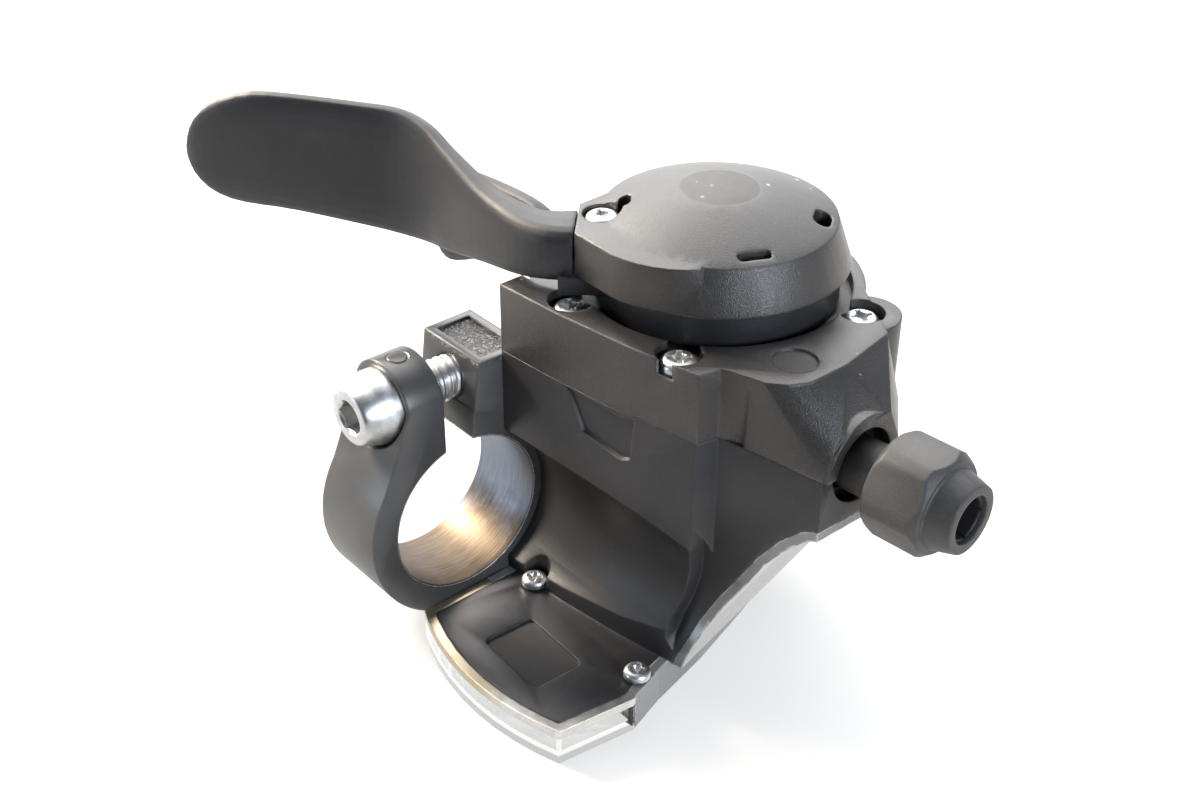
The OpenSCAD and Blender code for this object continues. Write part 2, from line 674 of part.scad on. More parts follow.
module flange_plan(inset = 0) {
    offset(delta = -inset) polygon(concat([[0, 0], [-12.7, -6.3], [-12.5, -11.7], [-7, -17.2]],
        [for (i = [0:7]) let (a = -97 + 45 * i / 7) (17.45 - 0.045 * i * i) * [cos(a), sin(a)]]));
}

module hub_cover() color(dark) difference() {
    union() {
        at_pivot() rotate_extrude() polygon(dome_profile(0));
        at_pivot(skirt_z) linear_extrude(arm_top - skirt_z) flange_plan();
    }
    difference() {
        union() {
            at_pivot() rotate_extrude() polygon(dome_profile(1.4));
            at_pivot(skirt_z - 1) linear_extrude(arm_top - skirt_z + 1 - 1.4) flange_plan(1.4);
        }
        round_pivot(14.3, -128, skirt_z) cylinder(r = 2.4, h = 9);
    }
    round_pivot(14.3, -128, arm_top - 1.3) cylinder(r = 2.5, h = 9);
    round_pivot(14.3, -128, skirt_z - 1) cylinder(r = 1.2, h = 9);
    for (s = [[-26, 12.9, 2.9, 0.65], [35, 12.6, 1.5, 1.1], [-134, 11.6, 1.2, 0.8]])
        round_pivot(s[1], s[0], 38) linear_extrude(9) offset(r = s[3]) square([0.01, s[2]], center = true);
}

module hub_screw() color(zinc) round_pivot(14.3, -128, arm_top - 1.3) cross_screw(2.15, 1.3, 0.98, 7);

module lever_plate() color(steel) difference() {
    at_pivot(lever_plate_z) linear_extrude(lever_plate_t) {
        circle(r = 9.6);
        rotate([0, 0, drive_turn]) hull() {
            translate([drive_pivot_r, 0]) circle(r = 2.2, $fn = 32);
            circle(r = 3, $fn = 32);
        }
    }
    at_pivot(lever_plate_z - 1) cylinder(r = 5.22, h = 5, $fn = 6);
    round_pivot(drive_pivot_r, drive_turn, lever_plate_z - 1) cylinder(r = 1.2 + run_gap, h = 5);
}

drive_pivot_r = 13.4;
drive_turn = -150;

pawl_gap = 0.35;
pawl_reach = 6;
drive_nose = pawl_nose(drive_pivot_r);
hold_nose = pawl_nose(hold_pivot_r);

// How far a pawl's nose stands in from its pivot, toward the axis
function pawl_nose(r) = r - sqrt((ratchet_r + pawl_gap) ^ 2 - pawl_reach ^ 2);

// A pawl seen from above, with its pivot at the origin and the axis toward -X
module pawl_plan(hub, drop) {
    circle(r = hub);
    polygon([[-hub * 0.98, 0], [-drop * 0.52, -pawl_reach * 0.5], [1.36 - drop, 1 - pawl_reach],
             [-drop, -pawl_reach],
             [0.9 - drop, -pawl_reach - 0.5], [2.2 - drop, -pawl_reach], [hub * 0.98, 0]]);
}

module drive_pawl() color(steel) {
    round_pivot(drive_pivot_r, drive_turn, drive_z + 0.05) linear_extrude(1.35) pawl_plan(1.9, drive_nose);
    round_pivot(drive_pivot_r, drive_turn, drive_z + 1.3) cylinder(r = 1.2, h = lever_plate_z + lever_plate_t - drive_z - 1.3);
}

module hold_pawl() color(steel) round_pivot(hold_pivot_r, hold_turn, hold_z) difference() {
    linear_extrude(ratchet_t - 0.1) pawl_plan(2.2, hold_nose);
    translate([0, 0, -1]) cylinder(r = 1.28 + run_gap, h = 5);
}

// RELEASE LEVER

release_turn = 178;
release_top = 26.6;

module release_plate() color(steel) at_pivot(release_z) linear_extrude(release_t) difference() {
    union() {
        circle(r = 6.6);
        rotate([0, 0, release_turn]) {
            translate([0, -1.5]) square([30, 3]);
            translate([12, -2.4]) square([18, 4.8]);
        }
    }
    circle(r = turn_r);
}

release_y = pivot_y + 2.7;
release_tip = pivot_x - release_reach;

release_stations = [
    [2, pivot_y + 0.6, 14.8, 3.2, 7],
    [-5, pivot_y + 1, 16, 4, 6.2],
    [-11, release_y - 0.6, 18.6, 5.6, 4.6],
    [-17, release_y, release_top - trigger_h * 0.36, trigger_h * 0.36, trigger_t],
    [release_tip + 14, release_y, release_top - trigger_h * 0.36, trigger_h * 0.36, trigger_t],
    [release_tip + 7, release_y - 1, release_top - trigger_h * 0.43, trigger_h * 0.43, trigger_t],
    [release_tip + 2, release_y - 2, release_top - trigger_h * 0.53, trigger_h / 2, trigger_t],
    [release_tip, release_y - 2.6, release_top - trigger_h * 0.55, trigger_h / 2, trigger_t]
];

module release_lever() color(black) difference() {
    blade(release_stations, 30, 16, 5);
    at_pivot(release_z - 0.03, release_turn) translate([10, -2.43, 0]) cube([20.05, 4.86, release_t + 0.06]);
}

// DRUM

index_turn = gear_pitch * (gears - 1);

// Where a pawl's nose stands round the axis, less the play before it meets a tooth
function nose_turn(turn, pivot_r, drop) = turn - atan2(pawl_reach, pivot_r - drop) - 4.5;

// A ratchet seen from above, with a saw tooth at each gear
module ratchet_plan(start) {
    difference() {
        circle(r = ratchet_r);
        for (i = [0:gears - 1]) rotate([0, 0, start + i * gear_pitch]) polygon([[ratchet_r - tooth_h, 0],
            [ratchet_r + 1, 0], (ratchet_r + 1) * [cos(gear_pitch * 0.75), sin(gear_pitch * 0.75)],
            (ratchet_r - 0.02) * [cos(gear_pitch * 0.75), sin(gear_pitch * 0.75)]]);
        circle(r = turn_r);
    }
}

module drive_ratchet() color(steel) at_pivot(drive_z) linear_extrude(1.4) ratchet_plan(nose_turn(drive_turn, drive_pivot_r, drive_nose));

module hold_ratchet() color(steel) at_pivot(hold_z) linear_extrude(ratchet_t) difference() {
    ratchet_plan(nose_turn(hold_turn, hold_pivot_r, hold_nose));
    rotate([0, 0, pin_start]) translate([pin_ring, 0]) circle(r = pin_r + 0.02);
}

cable_d = 1.6;

module cable_drum() color(nylon) difference() {
    at_pivot(drum_z) cylinder(r = 10.4, h = drum_h);
    at_pivot(drum_z - 1) cylinder(r = turn_r, h = 9);
    at_pivot(drum_z + 1.1) cylinder(r = 6.5, h = 9);
    at_pivot(snout_z) rotate_extrude() translate([cable_r - cable_d / 2 + 0.9, 0]) {
        circle(r = 0.9, $fn = 24);
        translate([0, -0.9]) square([5, 1.8]);
    }
    round_pivot(8.9, 118, drum_z + 1.2) cylinder(r = 1.7, h = 9);
    round_pivot(pin_ring, pin_start, drum_z - 1) cylinder(r = pin_r + 0.02, h = 2.2);
}

pin_start = 153;

module drum_pin() color(steel) round_pivot(pin_ring, pin_start, 2.6) cylinder(r = pin_r, h = drum_z + 1 - 2.6);

// POINTER

pointer_y = 15.8;
pointer_ratio = 0.41;
pointer_gap = pivot_y - pointer_y;
pin_place = [pin_ring * cos(pin_start), pointer_gap + pin_ring * sin(pin_start)];
tail_turn = atan2(pin_place[1], pin_place[0]) - 90;
pointer_z = -display_drop + 1.75;

module pointer() color(silver) translate([pivot_x, pointer_y, 0]) difference() {
    union() {
        translate([0, 0, pointer_z]) cylinder(r = 1.3, h = partition_z - 0.4 - pointer_z);
        translate([0, 0, pointer_z - 0.95]) cylinder(r = 1, h = 2);
        translate([0, 0, partition_z - 1]) cylinder(r = 1, h = 2.5);
        rotate([0, 0, tail_turn]) {
            translate([0, 0, 3]) linear_extrude(1.2) tail_plan();
            translate([0, 0, pointer_z + 0.1]) linear_extrude(0.5)
                polygon([[-1.2, 0], [-0.35, -22.4], [0.35, -22.4], [1.2, 0]]);
        }
    }
}

module tail_plan() difference() {
    translate([-2.2, 0]) square([4.4, 24]);
    translate([-pin_r - 0.2, 17]) square([2 * pin_r + 0.4, 5.6]);
}

// BARREL ADJUSTER

stem_r = 3.45;
nut_r = 4.7;
nut_l = 4;
nut_t = boss_t - 8.4;
knob_t = boss_t + 4.1;
liner_r = 2.98;

module adjuster_nut() color(brass) on_cable(nut_t) difference() {
    cylinder(r = nut_r / cos(30), h = nut_l, $fn = 6);
    translate([0, 0, -1]) cylinder(r = stem_r + run_gap, h = nut_l + 2);
}

module adjuster_knob() color(black) on_cable() difference() {
    union() {
        translate([0, 0, boss_t - 8.6]) cylinder(r = stem_r, h = 13);
        translate([0, 0, knob_t]) intersection() {
            linear_extrude(knob_l) knob_plan();
            rotate_extrude() polygon([[0, 0], [knob_d / 2 - 0.5, 0], [knob_d / 2, 0.7], [knob_d / 2, knob_l - 1],
                [knob_d / 2 - 0.8, knob_l], [0, knob_l]]);
        }
        translate([0, 0, knob_t + knob_l - eps]) cylinder(r1 = knob_d / 2 - 1.4, r2 = 4.2, h = nose_l);
    }
    translate([0, 0, boss_t - 10]) cylinder(r = liner_r + run_gap, h = 60);
}

module knob_plan() intersection() {
    circle(d = knob_d);
    rotate([0, 0, 30]) circle(d = knob_d * 1.06, $fn = 6);
}

module adjuster_ferrule() color(nylon) on_cable() difference() {
    translate([0, 0, boss_t - 8]) cylinder(r = liner_r, h = knob_t + knob_l + nose_l - 0.6 - boss_t + 8);
    translate([0, 0, boss_t - 9]) cylinder(r = 1.2, h = 60);
    translate([0, 0, knob_t - 2]) cylinder(r = housing_d / 2 + 0.06, h = 60);
    for (a = [0, 90]) rotate([0, 0, a]) translate([-5, -0.35, knob_t + knob_l + nose_l - 3]) cube([10, 0.7, 5]);
}

clamp_band();
clamp_bolt();
clamp_fixing_screw();
base_cover();
main_case();
top_cover();
window_lens();
window_trim();
dial_plate();
cover_screw_left();
cover_screw_front();
cover_screw_rear();
saddle_screw_left();
saddle_screw_right();
base_plate();
plate_screw_left();
plate_screw_right();
plate_screw_rear();
main_axle();
hub_washer();
axle_nut();
pawl_pin();
lever_spring();
drum_spring();
release_spring();
adjuster_nut();
main_lever();
hub_cover();
hub_screw();
lever_plate();
drive_pawl();
release_lever();
release_plate();
cable_drum();
drive_ratchet();
hold_ratchet();
drum_pin();
hold_pawl();
pointer();
adjuster_ferrule();
adjuster_knob();
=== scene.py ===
import json
import math

import bmesh
import bpy
from mathutils import Matrix, Vector


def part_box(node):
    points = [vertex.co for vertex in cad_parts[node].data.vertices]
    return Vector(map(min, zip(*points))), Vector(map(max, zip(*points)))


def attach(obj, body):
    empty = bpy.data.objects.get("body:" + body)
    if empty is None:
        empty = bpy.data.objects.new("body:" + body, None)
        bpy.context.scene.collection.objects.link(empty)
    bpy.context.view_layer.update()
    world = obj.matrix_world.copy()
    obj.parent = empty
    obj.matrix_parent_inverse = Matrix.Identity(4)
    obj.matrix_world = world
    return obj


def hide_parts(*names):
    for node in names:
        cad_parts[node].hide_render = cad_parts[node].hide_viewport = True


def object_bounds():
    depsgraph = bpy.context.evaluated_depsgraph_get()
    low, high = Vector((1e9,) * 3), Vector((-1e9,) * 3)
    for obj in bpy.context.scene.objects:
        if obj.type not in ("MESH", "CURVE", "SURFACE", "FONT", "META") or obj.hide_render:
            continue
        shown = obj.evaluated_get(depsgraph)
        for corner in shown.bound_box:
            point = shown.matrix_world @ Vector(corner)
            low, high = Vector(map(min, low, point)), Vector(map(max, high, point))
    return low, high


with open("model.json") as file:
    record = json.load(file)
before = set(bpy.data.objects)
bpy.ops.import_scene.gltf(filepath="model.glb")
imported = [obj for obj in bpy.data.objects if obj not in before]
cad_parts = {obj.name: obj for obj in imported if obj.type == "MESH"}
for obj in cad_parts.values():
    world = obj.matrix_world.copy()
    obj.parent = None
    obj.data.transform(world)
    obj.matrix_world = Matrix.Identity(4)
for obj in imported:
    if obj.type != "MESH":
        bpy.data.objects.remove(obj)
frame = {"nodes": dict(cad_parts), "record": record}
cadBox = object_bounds()
mm = 0.001
nodes = frame["nodes"]


# Shader maths: a socket that takes part in plain expressions
class Value:
    def __init__(self, tree, socket):
        self.tree = tree
        self.socket = socket

    def maths(self, operation, *terms, clamp=False):
        node = self.tree.nodes.new("ShaderNodeMath")
        node.operation = operation
        node.use_clamp = clamp
        for slot, term in zip(node.inputs, (self,) + terms):
            if isinstance(term, Value):
                self.tree.links.new(term.socket, slot)
            else:
                slot.default_value = term
        return Value(self.tree, node.outputs[0])

    def reflected(self, operation, term):
        node = self.tree.nodes.new("ShaderNodeMath")
        node.operation = operation
        node.inputs[0].default_value = term
        self.tree.links.new(self.socket, node.inputs[1])
        return Value(self.tree, node.outputs[0])

    def __add__(self, other): return self.maths("ADD", other)
    def __radd__(self, other): return self.maths("ADD", other)
    def __sub__(self, other): return self.maths("SUBTRACT", other)
    def __rsub__(self, other): return self.reflected("SUBTRACT", other)
    def __mul__(self, other): return self.maths("MULTIPLY", other)
    def __rmul__(self, other): return self.maths("MULTIPLY", other)
    def __truediv__(self, other): return self.maths("DIVIDE", other)
    def __pow__(self, other): return self.maths("POWER", other)
    def __gt__(self, other): return self.maths("GREATER_THAN", other)
    def __lt__(self, other): return self.maths("LESS_THAN", other)
    def __abs__(self): return self.maths("ABSOLUTE")

    def clamped(self): return self.maths("ADD", 0.0, clamp=True)
    def root(self): return self.maths("SQRT")

    def ramp(self, low, high):  # 0 at low, 1 at high, held outside them
        return ((self - low) / (high - low)).clamped()


class Tree:
    def __init__(self, tree):
        self.tree = tree

    def add(self, kind, settings=None, sockets=None, output=0):
        node = self.tree.nodes.new(kind)
        for key, value in (settings or {}).items():
            setattr(node, key, value)
        for key, value in (sockets or {}).items():
            if isinstance(value, Value):
                self.tree.links.new(value.socket, node.inputs[key])
            elif isinstance(value, bpy.types.NodeSocket):
                self.tree.links.new(value, node.inputs[key])
            else:
                node.inputs[key].default_value = value
        return Value(self.tree, node.outputs[output]) if len(node.outputs) else None


class Finish(Tree):
    def __init__(self, name):
        self.material = bpy.data.materials.new(name)
        self.material.use_nodes = True
        super().__init__(self.material.node_tree)
        self.tree.nodes.clear()
        coordinates = self.tree.nodes.new("ShaderNodeTexCoord")
        self.place = self.add("ShaderNodeVectorMath", {"operation": "SCALE"},
                              {0: coordinates.outputs["Object"], "Scale": 1 / mm})  # in millimetres

    def stretched(self, x, y, z):
        return self.add("ShaderNodeVectorMath", {"operation": "MULTIPLY"}, {0: self.place, 1: (x, y, z)})

    def noise(self, perMm, detail=3.0, roughness=0.55, place=None, distortion=0.0):
        return self.add("ShaderNodeTexNoise", None, {
            "Vector": place or self.place, "Scale": perMm, "Detail": detail, "Roughness": roughness,
            "Distortion": distortion})

    def cells(self, perMm):
        return self.add("ShaderNodeTexVoronoi", None, {"Vector": self.place, "Scale": perMm}, "Distance")

    def mix(self, factor, first, second):
        first, second = [(*c, 1.0) if isinstance(c, tuple) else c for c in (first, second)]
        return self.add("ShaderNodeMix", {"data_type": "RGBA"}, {0: factor, 6: first, 7: second}, 2)

    def axis(self, letter, place=None):  # in millimetres, or along the direction given as the place
        return self.add("ShaderNodeSeparateXYZ", None, {0: place or self.place}, "XYZ".index(letter))

    def band(self, letter, reach):  # 1 between the two ends of the reach, 0 outside
        along = self.axis(letter)
        return (along > reach[0]) * (along < reach[1])

    def away(self, x, y):  # distance from an upright line, in millimetres
        across, along = self.axis("X") - x, self.axis("Y") - y
        return (across * across + along * along).root()

    def edge(self, radius):  # the rounded normal, and a share that grows toward edges (radius in millimetres)
        contrast = 6.0
        soft = self.add("ShaderNodeBevel", {"samples": 4}, {"Radius": radius * mm})
        flat = self.add("ShaderNodeNewGeometry", None, None, "Normal")
        along = self.add("ShaderNodeVectorMath", {"operation": "DOT_PRODUCT"}, {0: soft, 1: flat}, "Value")
        return soft, (1.0 - along) * contrast

    def bump(self, height, depth, normal, strength=1.0):
        return self.add("ShaderNodeBump", None, {"Height": height, "Distance": depth * mm, "Strength": strength,
                                                 "Normal": normal})

    def close(self, **inputs):
        names = {"colour": "Base Color", "roughness": "Roughness", "metallic": "Metallic", "normal": "Normal",
                 "ior": "IOR", "coat": "Coat Weight", "coatRoughness": "Coat Roughness",
                 "specular": "Specular IOR Level", "transmission": "Transmission Weight"}
        sockets = {names[k]: ((*v, 1.0) if isinstance(v, tuple) else v) for k, v in inputs.items()}
        shader = self.add("ShaderNodeBsdfPrincipled", None, sockets)
        self.add("ShaderNodeOutputMaterial", None, {0: shader})
        return self.material


# Moulded plastic: the pattern is the same on every piece, the look is not
plasticPattern = {
    "broadPerMm": 0.09, "broadRough": 0.14, "swellDepth": 0.05, "swellStrength": 0.5,
    "patchPerMm": 0.6, "rubShow": (0.42, 0.66), "rubSmooth": 0.12,
    "finePerGrain": 2.3, "grainShare": 0.7, "fineShare": 0.3,
    "sparklePerGrain": 1.6, "sparkleShow": (0.6, 0.74),
    "scrapePerMm": 1.1, "scrapeAlong": (0.14, 1.0, 2.1), "scrapeThinness": 160.0, "scrapeSink": 0.25,
    "scrapeAreaPerMm": 0.16, "scrapeShow": (0.52, 0.7),
    "dustPerMm": 0.34, "dustSize": 0.055, "dustAreaPerMm": 0.21, "dustShow": (0.55, 0.68),
    "dustSlope": (0.2, 0.7), "dustTone": (0.62, 0.6, 0.57),
    "discRim": 0.15, "discSmooth": 0.8, "discTone": 0.5, "discRough": 0.14,
    "sunkTone": (0.006, 0.006, 0.007), "sunkShare": 0.7, "sunkRough": 0.22, "coatRoughness": 0.25,
}


def mouldedPlastic(name, look):
    f, p = Finish(name), plasticPattern
    soft, edge = f.edge(look["edgeRadius"])
    broad = f.noise(p["broadPerMm"])
    patch = f.noise(p["patchPerMm"], 4.0, 0.6)
    grain = f.noise(look["grainPerMm"], 2.0, 0.6)
    fine = f.noise(look["grainPerMm"] * p["finePerGrain"], 1.0)
    sparkle = f.noise(look["grainPerMm"] * p["sparklePerGrain"], 1.0, 0.5).ramp(*p["sparkleShow"])
    scrape = f.noise(p["scrapePerMm"], 3.0, 0.6, f.stretched(*p["scrapeAlong"]), 0.6)
    scraped = f.noise(p["scrapeAreaPerMm"], 2.0).ramp(*p["scrapeShow"])
    lines = (1.0 - abs(scrape - 0.5) * p["scrapeThinness"]).clamped() * scraped * look["scratches"]
    rub = edge.clamped() * patch.ramp(*p["rubShow"]) * look["wear"]
    colour = f.mix(broad.ramp(0.3, 0.7), look["dark"], look["light"])
    colour = f.mix(grain.ramp(0.35, 0.75) * look["grainTone"], colour, look["glint"])
    colour = f.mix((rub + lines).clamped(), colour, look["worn"])
    if look["dust"]:
        upward = f.axis("Z", f.add("ShaderNodeNewGeometry", None, None, "Normal")).ramp(*p["dustSlope"])
        dusty = f.noise(p["dustAreaPerMm"], 1.0).ramp(*p["dustShow"])
        speck = (f.cells(p["dustPerMm"]) < p["dustSize"] * look["dust"]) * dusty * upward
        colour = f.mix(speck, colour, p["dustTone"])
    roughness = look["roughness"] + (patch - 0.5) * look["roughnessShift"] + (broad - 0.5) * p["broadRough"]
    roughness = roughness - rub * p["rubSmooth"] - sparkle * look["sparkle"]
    if look.get("disc"):  # the flat, smoother spot in the middle of the dome: x, y and radius
        x, y, reach = look["disc"]
        spot = 1.0 - f.away(x, y).ramp(reach - p["discRim"], reach + p["discRim"])
        grain = grain * (1.0 - spot * p["discSmooth"])
        colour = f.mix(spot * p["discTone"], colour, look["light"])
        roughness = roughness + spot * p["discRough"]
    if look.get("sunk"):  # the patch sunk in the skirt is duller and darker: reach in x, y and z
        inside = f.band("X", look["sunk"][0]) * f.band("Y", look["sunk"][1]) * f.band("Z", look["sunk"][2])
        colour = f.mix(inside * p["sunkShare"], colour, p["sunkTone"])
        roughness = roughness + inside * p["sunkRough"]
    height = grain * p["grainShare"] + fine * p["fineShare"] - lines * p["scrapeSink"]
    swell = f.bump(broad, p["swellDepth"], soft, p["swellStrength"])
    return f.close(colour=colour, roughness=roughness.clamped(), specular=look["specular"], coat=look["coat"],
                   coatRoughness=p["coatRoughness"], normal=f.bump(height, look["grainDepth"], swell))


caseLook = {"dark": (0.0095, 0.0098, 0.0135), "light": (0.02, 0.0175, 0.0175), "glint": (0.045, 0.044, 0.049),
            "worn": (0.11, 0.105, 0.1), "edgeRadius": 0.4, "grainPerMm": 5.5, "grainTone": 0.3,
            "grainDepth": 0.03, "roughness": 0.43, "roughnessShift": 0.14, "scratches": 0.25, "wear": 0.3,
            "dust": 0.6, "sparkle": 0.08, "specular": 0.5, "coat": 0.0}
skirtLook = dict(caseLook, sunk=((16.2, 27.8), (-6.2, 1.6), (-12.9, -12.55)))
coverLook = dict(caseLook, dark=(0.013, 0.012, 0.0125), light=(0.023, 0.02, 0.019), glint=(0.066, 0.058, 0.052),
                 grainTone=0.4, grainDepth=0.075, roughness=0.36, dust=1.7, specular=0.7, sparkle=0.14)
hubLook = dict(coverLook, disc=(21.8, 28.3, 4.9))
leverLook = dict(caseLook, dark=(0.0095, 0.0095, 0.0115), light=(0.016, 0.0158, 0.0185),
                 glint=(0.032, 0.031, 0.037), grainDepth=0.022, roughness=0.47, edgeRadius=0.7, wear=0.2,
                 dust=0.5)
# The glossy cover: its slate grey tones are its own dark grey with a painted reflection of the pale table mixed
# in
slateAndReflectionLook = dict(caseLook, dark=(0.11, 0.118, 0.125), light=(0.16, 0.17, 0.178), glint=(0.2, 0.21, 0.22),
                 worn=(0.66, 0.58, 0.49), grainTone=0.1, grainDepth=0.003, roughness=0.22, roughnessShift=0.08,
                 scratches=0.5, wear=1.6, coat=0.4)
knobLook = dict(caseLook, dark=(0.02, 0.019, 0.0195), light=(0.038, 0.037, 0.037), glint=(0.08, 0.078, 0.076),
                edgeRadius=0.45, grainDepth=0.035, roughness=0.48, scratches=0.9, wear=0.9, dust=0.3)
nylonLook = dict(caseLook, dark=(0.5, 0.48, 0.43), light=(0.62, 0.6, 0.55), glint=(0.72, 0.7, 0.66),
                 worn=(0.35, 0.33, 0.3), grainTone=0.2, grainDepth=0.004, roughness=0.4, dust=0)
dialLook = dict(nylonLook, dark=(0.33, 0.35, 0.37), light=(0.42, 0.44, 0.46), glint=(0.6, 0.6, 0.6),
                roughness=0.32)
pointerLook = dict(nylonLook, dark=(0.5, 0.03, 0.02), light=(0.62, 0.045, 0.03), glint=(0.7, 0.1, 0.08))


# Bright plated steel, with the fine lines of the turning and a few dark stains
def platedSteel(name, look):
    f = Finish(name)
    soft, edge = f.edge(look["edgeRadius"])
    stain = f.noise(look["stainPerMm"], 4.0, 0.65)
    turned = f.noise(look["turnedPerMm"], 2.0, 0.5, f.stretched(*look["grainAlong"]))
    spot = f.noise(look["spotPerMm"], 3.0, 0.6)
    colour = f.mix(stain.ramp(0.35, 0.7), look["dark"], look["light"])
    colour = f.mix(spot.ramp(0.62, 0.75) * look["stained"], colour, look["stain"])
    colour = f.mix(edge.clamped() * look["wear"], colour, look["worn"])
    if look.get("cream"):  # creamier toward the clamp
        colour = f.mix(1.0 - f.axis("X").ramp(*look["creamReach"]), colour, look["cream"])
    roughness = look["roughness"] + (stain - 0.5) * look["stainRough"] + (turned - 0.5) * look["turnedRough"]
    normal = f.bump(turned * 0.8 + spot * 0.2, look["grainDepth"], soft)
    return f.close(colour=colour, metallic=1.0, roughness=roughness.clamped(), normal=normal)


zincLook = {"dark": (0.6, 0.6, 0.61), "light": (0.84, 0.84, 0.83), "stain": (0.3, 0.27, 0.2), "stained": 0.5,
            "stainPerMm": 0.7, "stainRough": 0.2, "spotPerMm": 3.5, "worn": (0.9, 0.9, 0.9), "wear": 0.5,
            "turnedPerMm": 9.0, "turnedRough": 0.16, "grainAlong": (1.0, 0.35, 1.0), "grainDepth": 0.004,
            "edgeRadius": 0.25, "roughness": 0.36}
springLook = dict(zincLook, dark=(0.3, 0.3, 0.31), light=(0.5, 0.5, 0.5), roughness=0.3, edgeRadius=0.1)
sheetLook = dict(zincLook, dark=(0.4, 0.41, 0.42), light=(0.58, 0.58, 0.58), edgeRadius=0.2)
brassLook = dict(zincLook, dark=(0.5, 0.36, 0.14), light=(0.72, 0.55, 0.25), stain=(0.2, 0.12, 0.05),
                 roughness=0.3)
trimLook = dict(zincLook, dark=(0.66, 0.65, 0.62), light=(0.86, 0.85, 0.82), stain=(0.4, 0.38, 0.34),
                roughness=0.34, cream=(0.55, 0.46, 0.33), creamReach=(22.0, 28.0))


# The clamp: satin black coat, left bare in the machined bore, with a ragged edge where it was cut through
def coatedClamp():
    look = {"coat": (0.035, 0.034, 0.035), "coatHigh": (0.055, 0.054, 0.056), "edgeRadius": 0.5,
            "worn": (0.13, 0.13, 0.13), "wear": 0.4, "roughness": 0.36, "grainDepth": 0.012, "specular": 0.8,
            "boreRadius": 11.1, "bareReach": 0.16, "bareFade": 0.05, "ragged": 0.34, "raggedPerMm": 1.9,
            "metallic": 0.95, "rim": (0.05, 0.12), "rimShare": 0.8, "bright": (0.85, 0.84, 0.8),
            # the bare bore's tones below are a painted reflection: a darker warm tone low down, a lighter
            # bluish tone high up
            "low": (0.06, 0.045, 0.032), "lowReflectionStreaks": (0.14, 0.105, 0.075), "high": (0.16, 0.185, 0.235),
            "highReflectionStreaks": (0.27, 0.3, 0.36), "rise": (-8.5, -3.5), "reflectionSplitShift": 6.0,
            "turnedPerMm": 1.6, "turnedAlong": (5.0, 0.16, 0.16), "turnedRough": 0.3, "bareRough": 0.05,
            "peelPerMm": 2.4, "broadPerMm": 0.12, "patchPerMm": 0.3,
            "recess": (21.1, 21.6), "castPerMm": 1.5, "castTone": (0.12, 0.12, 0.12), "castDepth": 0.25,
            "mark": (0.0, -5.5, 1.35), "markFrom": 20.0, "markSharp": 5.0, "markSink": 0.6}
    f = Finish("satinBlackCoat")
    soft, edge = f.edge(look["edgeRadius"])
    y, z = f.axis("Y"), f.axis("Z")
    radius = (y * y + z * z).root()
    ragged = f.noise(look["raggedPerMm"], 3.0, 0.7)
    reach = look["boreRadius"] + look["bareReach"] + (ragged - 0.5) * look["ragged"]
    bare = 1.0 - (radius - reach).ramp(0.0, look["bareFade"])
    peel = f.noise(look["peelPerMm"], 2.0)
    broad = f.noise(look["broadPerMm"])
    turned = f.noise(look["turnedPerMm"], 3.0, 0.6, f.stretched(*look["turnedAlong"]))
    patch = f.noise(look["patchPerMm"], 3.0, 0.6)
    # Painted reflection in the bare bore: darker and warm low down, lighter and bluish high up, split by
    # height; the turned streaks and the bright cut rim are the metal's own
    low = f.mix(turned.ramp(0.35, 0.68), look["low"], look["lowReflectionStreaks"])
    high = f.mix(turned.ramp(0.35, 0.68), look["high"], look["highReflectionStreaks"])
    bareMetalAndReflection = f.mix((z + (patch - 0.5) * look["reflectionSplitShift"]).ramp(*look["rise"]), low, high)
    rim = (radius - look["boreRadius"]).ramp(*look["rim"])
    bareMetalAndReflection = f.mix(rim * look["rimShare"], bareMetalAndReflection, look["bright"])
    coat = f.mix(broad.ramp(0.3, 0.7), look["coat"], look["coatHigh"])
    coat = f.mix(edge.clamped() * patch.ramp(0.4, 0.7) * look["wear"], coat, look["worn"])
    cast = f.band("Z", look["recess"]) * (y > 0.0)  # the rough floor of the recess in the fixed ear
    lumps = f.noise(look["castPerMm"], 3.0, 0.7).ramp(0.42, 0.58)
    coat = f.mix(cast * lumps * 0.5, coat, look["castTone"])
    roughness = look["roughness"] + (broad - 0.5) * 0.1 + (peel - 0.5) * 0.08
    roughness = roughness + bare * ((turned - 0.5) * look["turnedRough"] + look["bareRough"])
    normal = f.bump(peel * (1.0 - bare) * 0.5 + turned * bare, look["grainDepth"], soft)
    markX, markY, markRadius = look["mark"]  # the round witness mark on top of the ear
    ring = (1.0 - abs(f.away(markX, markY) - markRadius) * look["markSharp"]).clamped() * (z > look["markFrom"])
    normal = f.bump(lumps * cast - ring * look["markSink"], look["castDepth"], normal)
    return f.close(colour=f.mix(bare, coat, bareMetalAndReflection), metallic=bare * look["metallic"],
                   roughness=roughness.clamped(), normal=normal, specular=look["specular"])


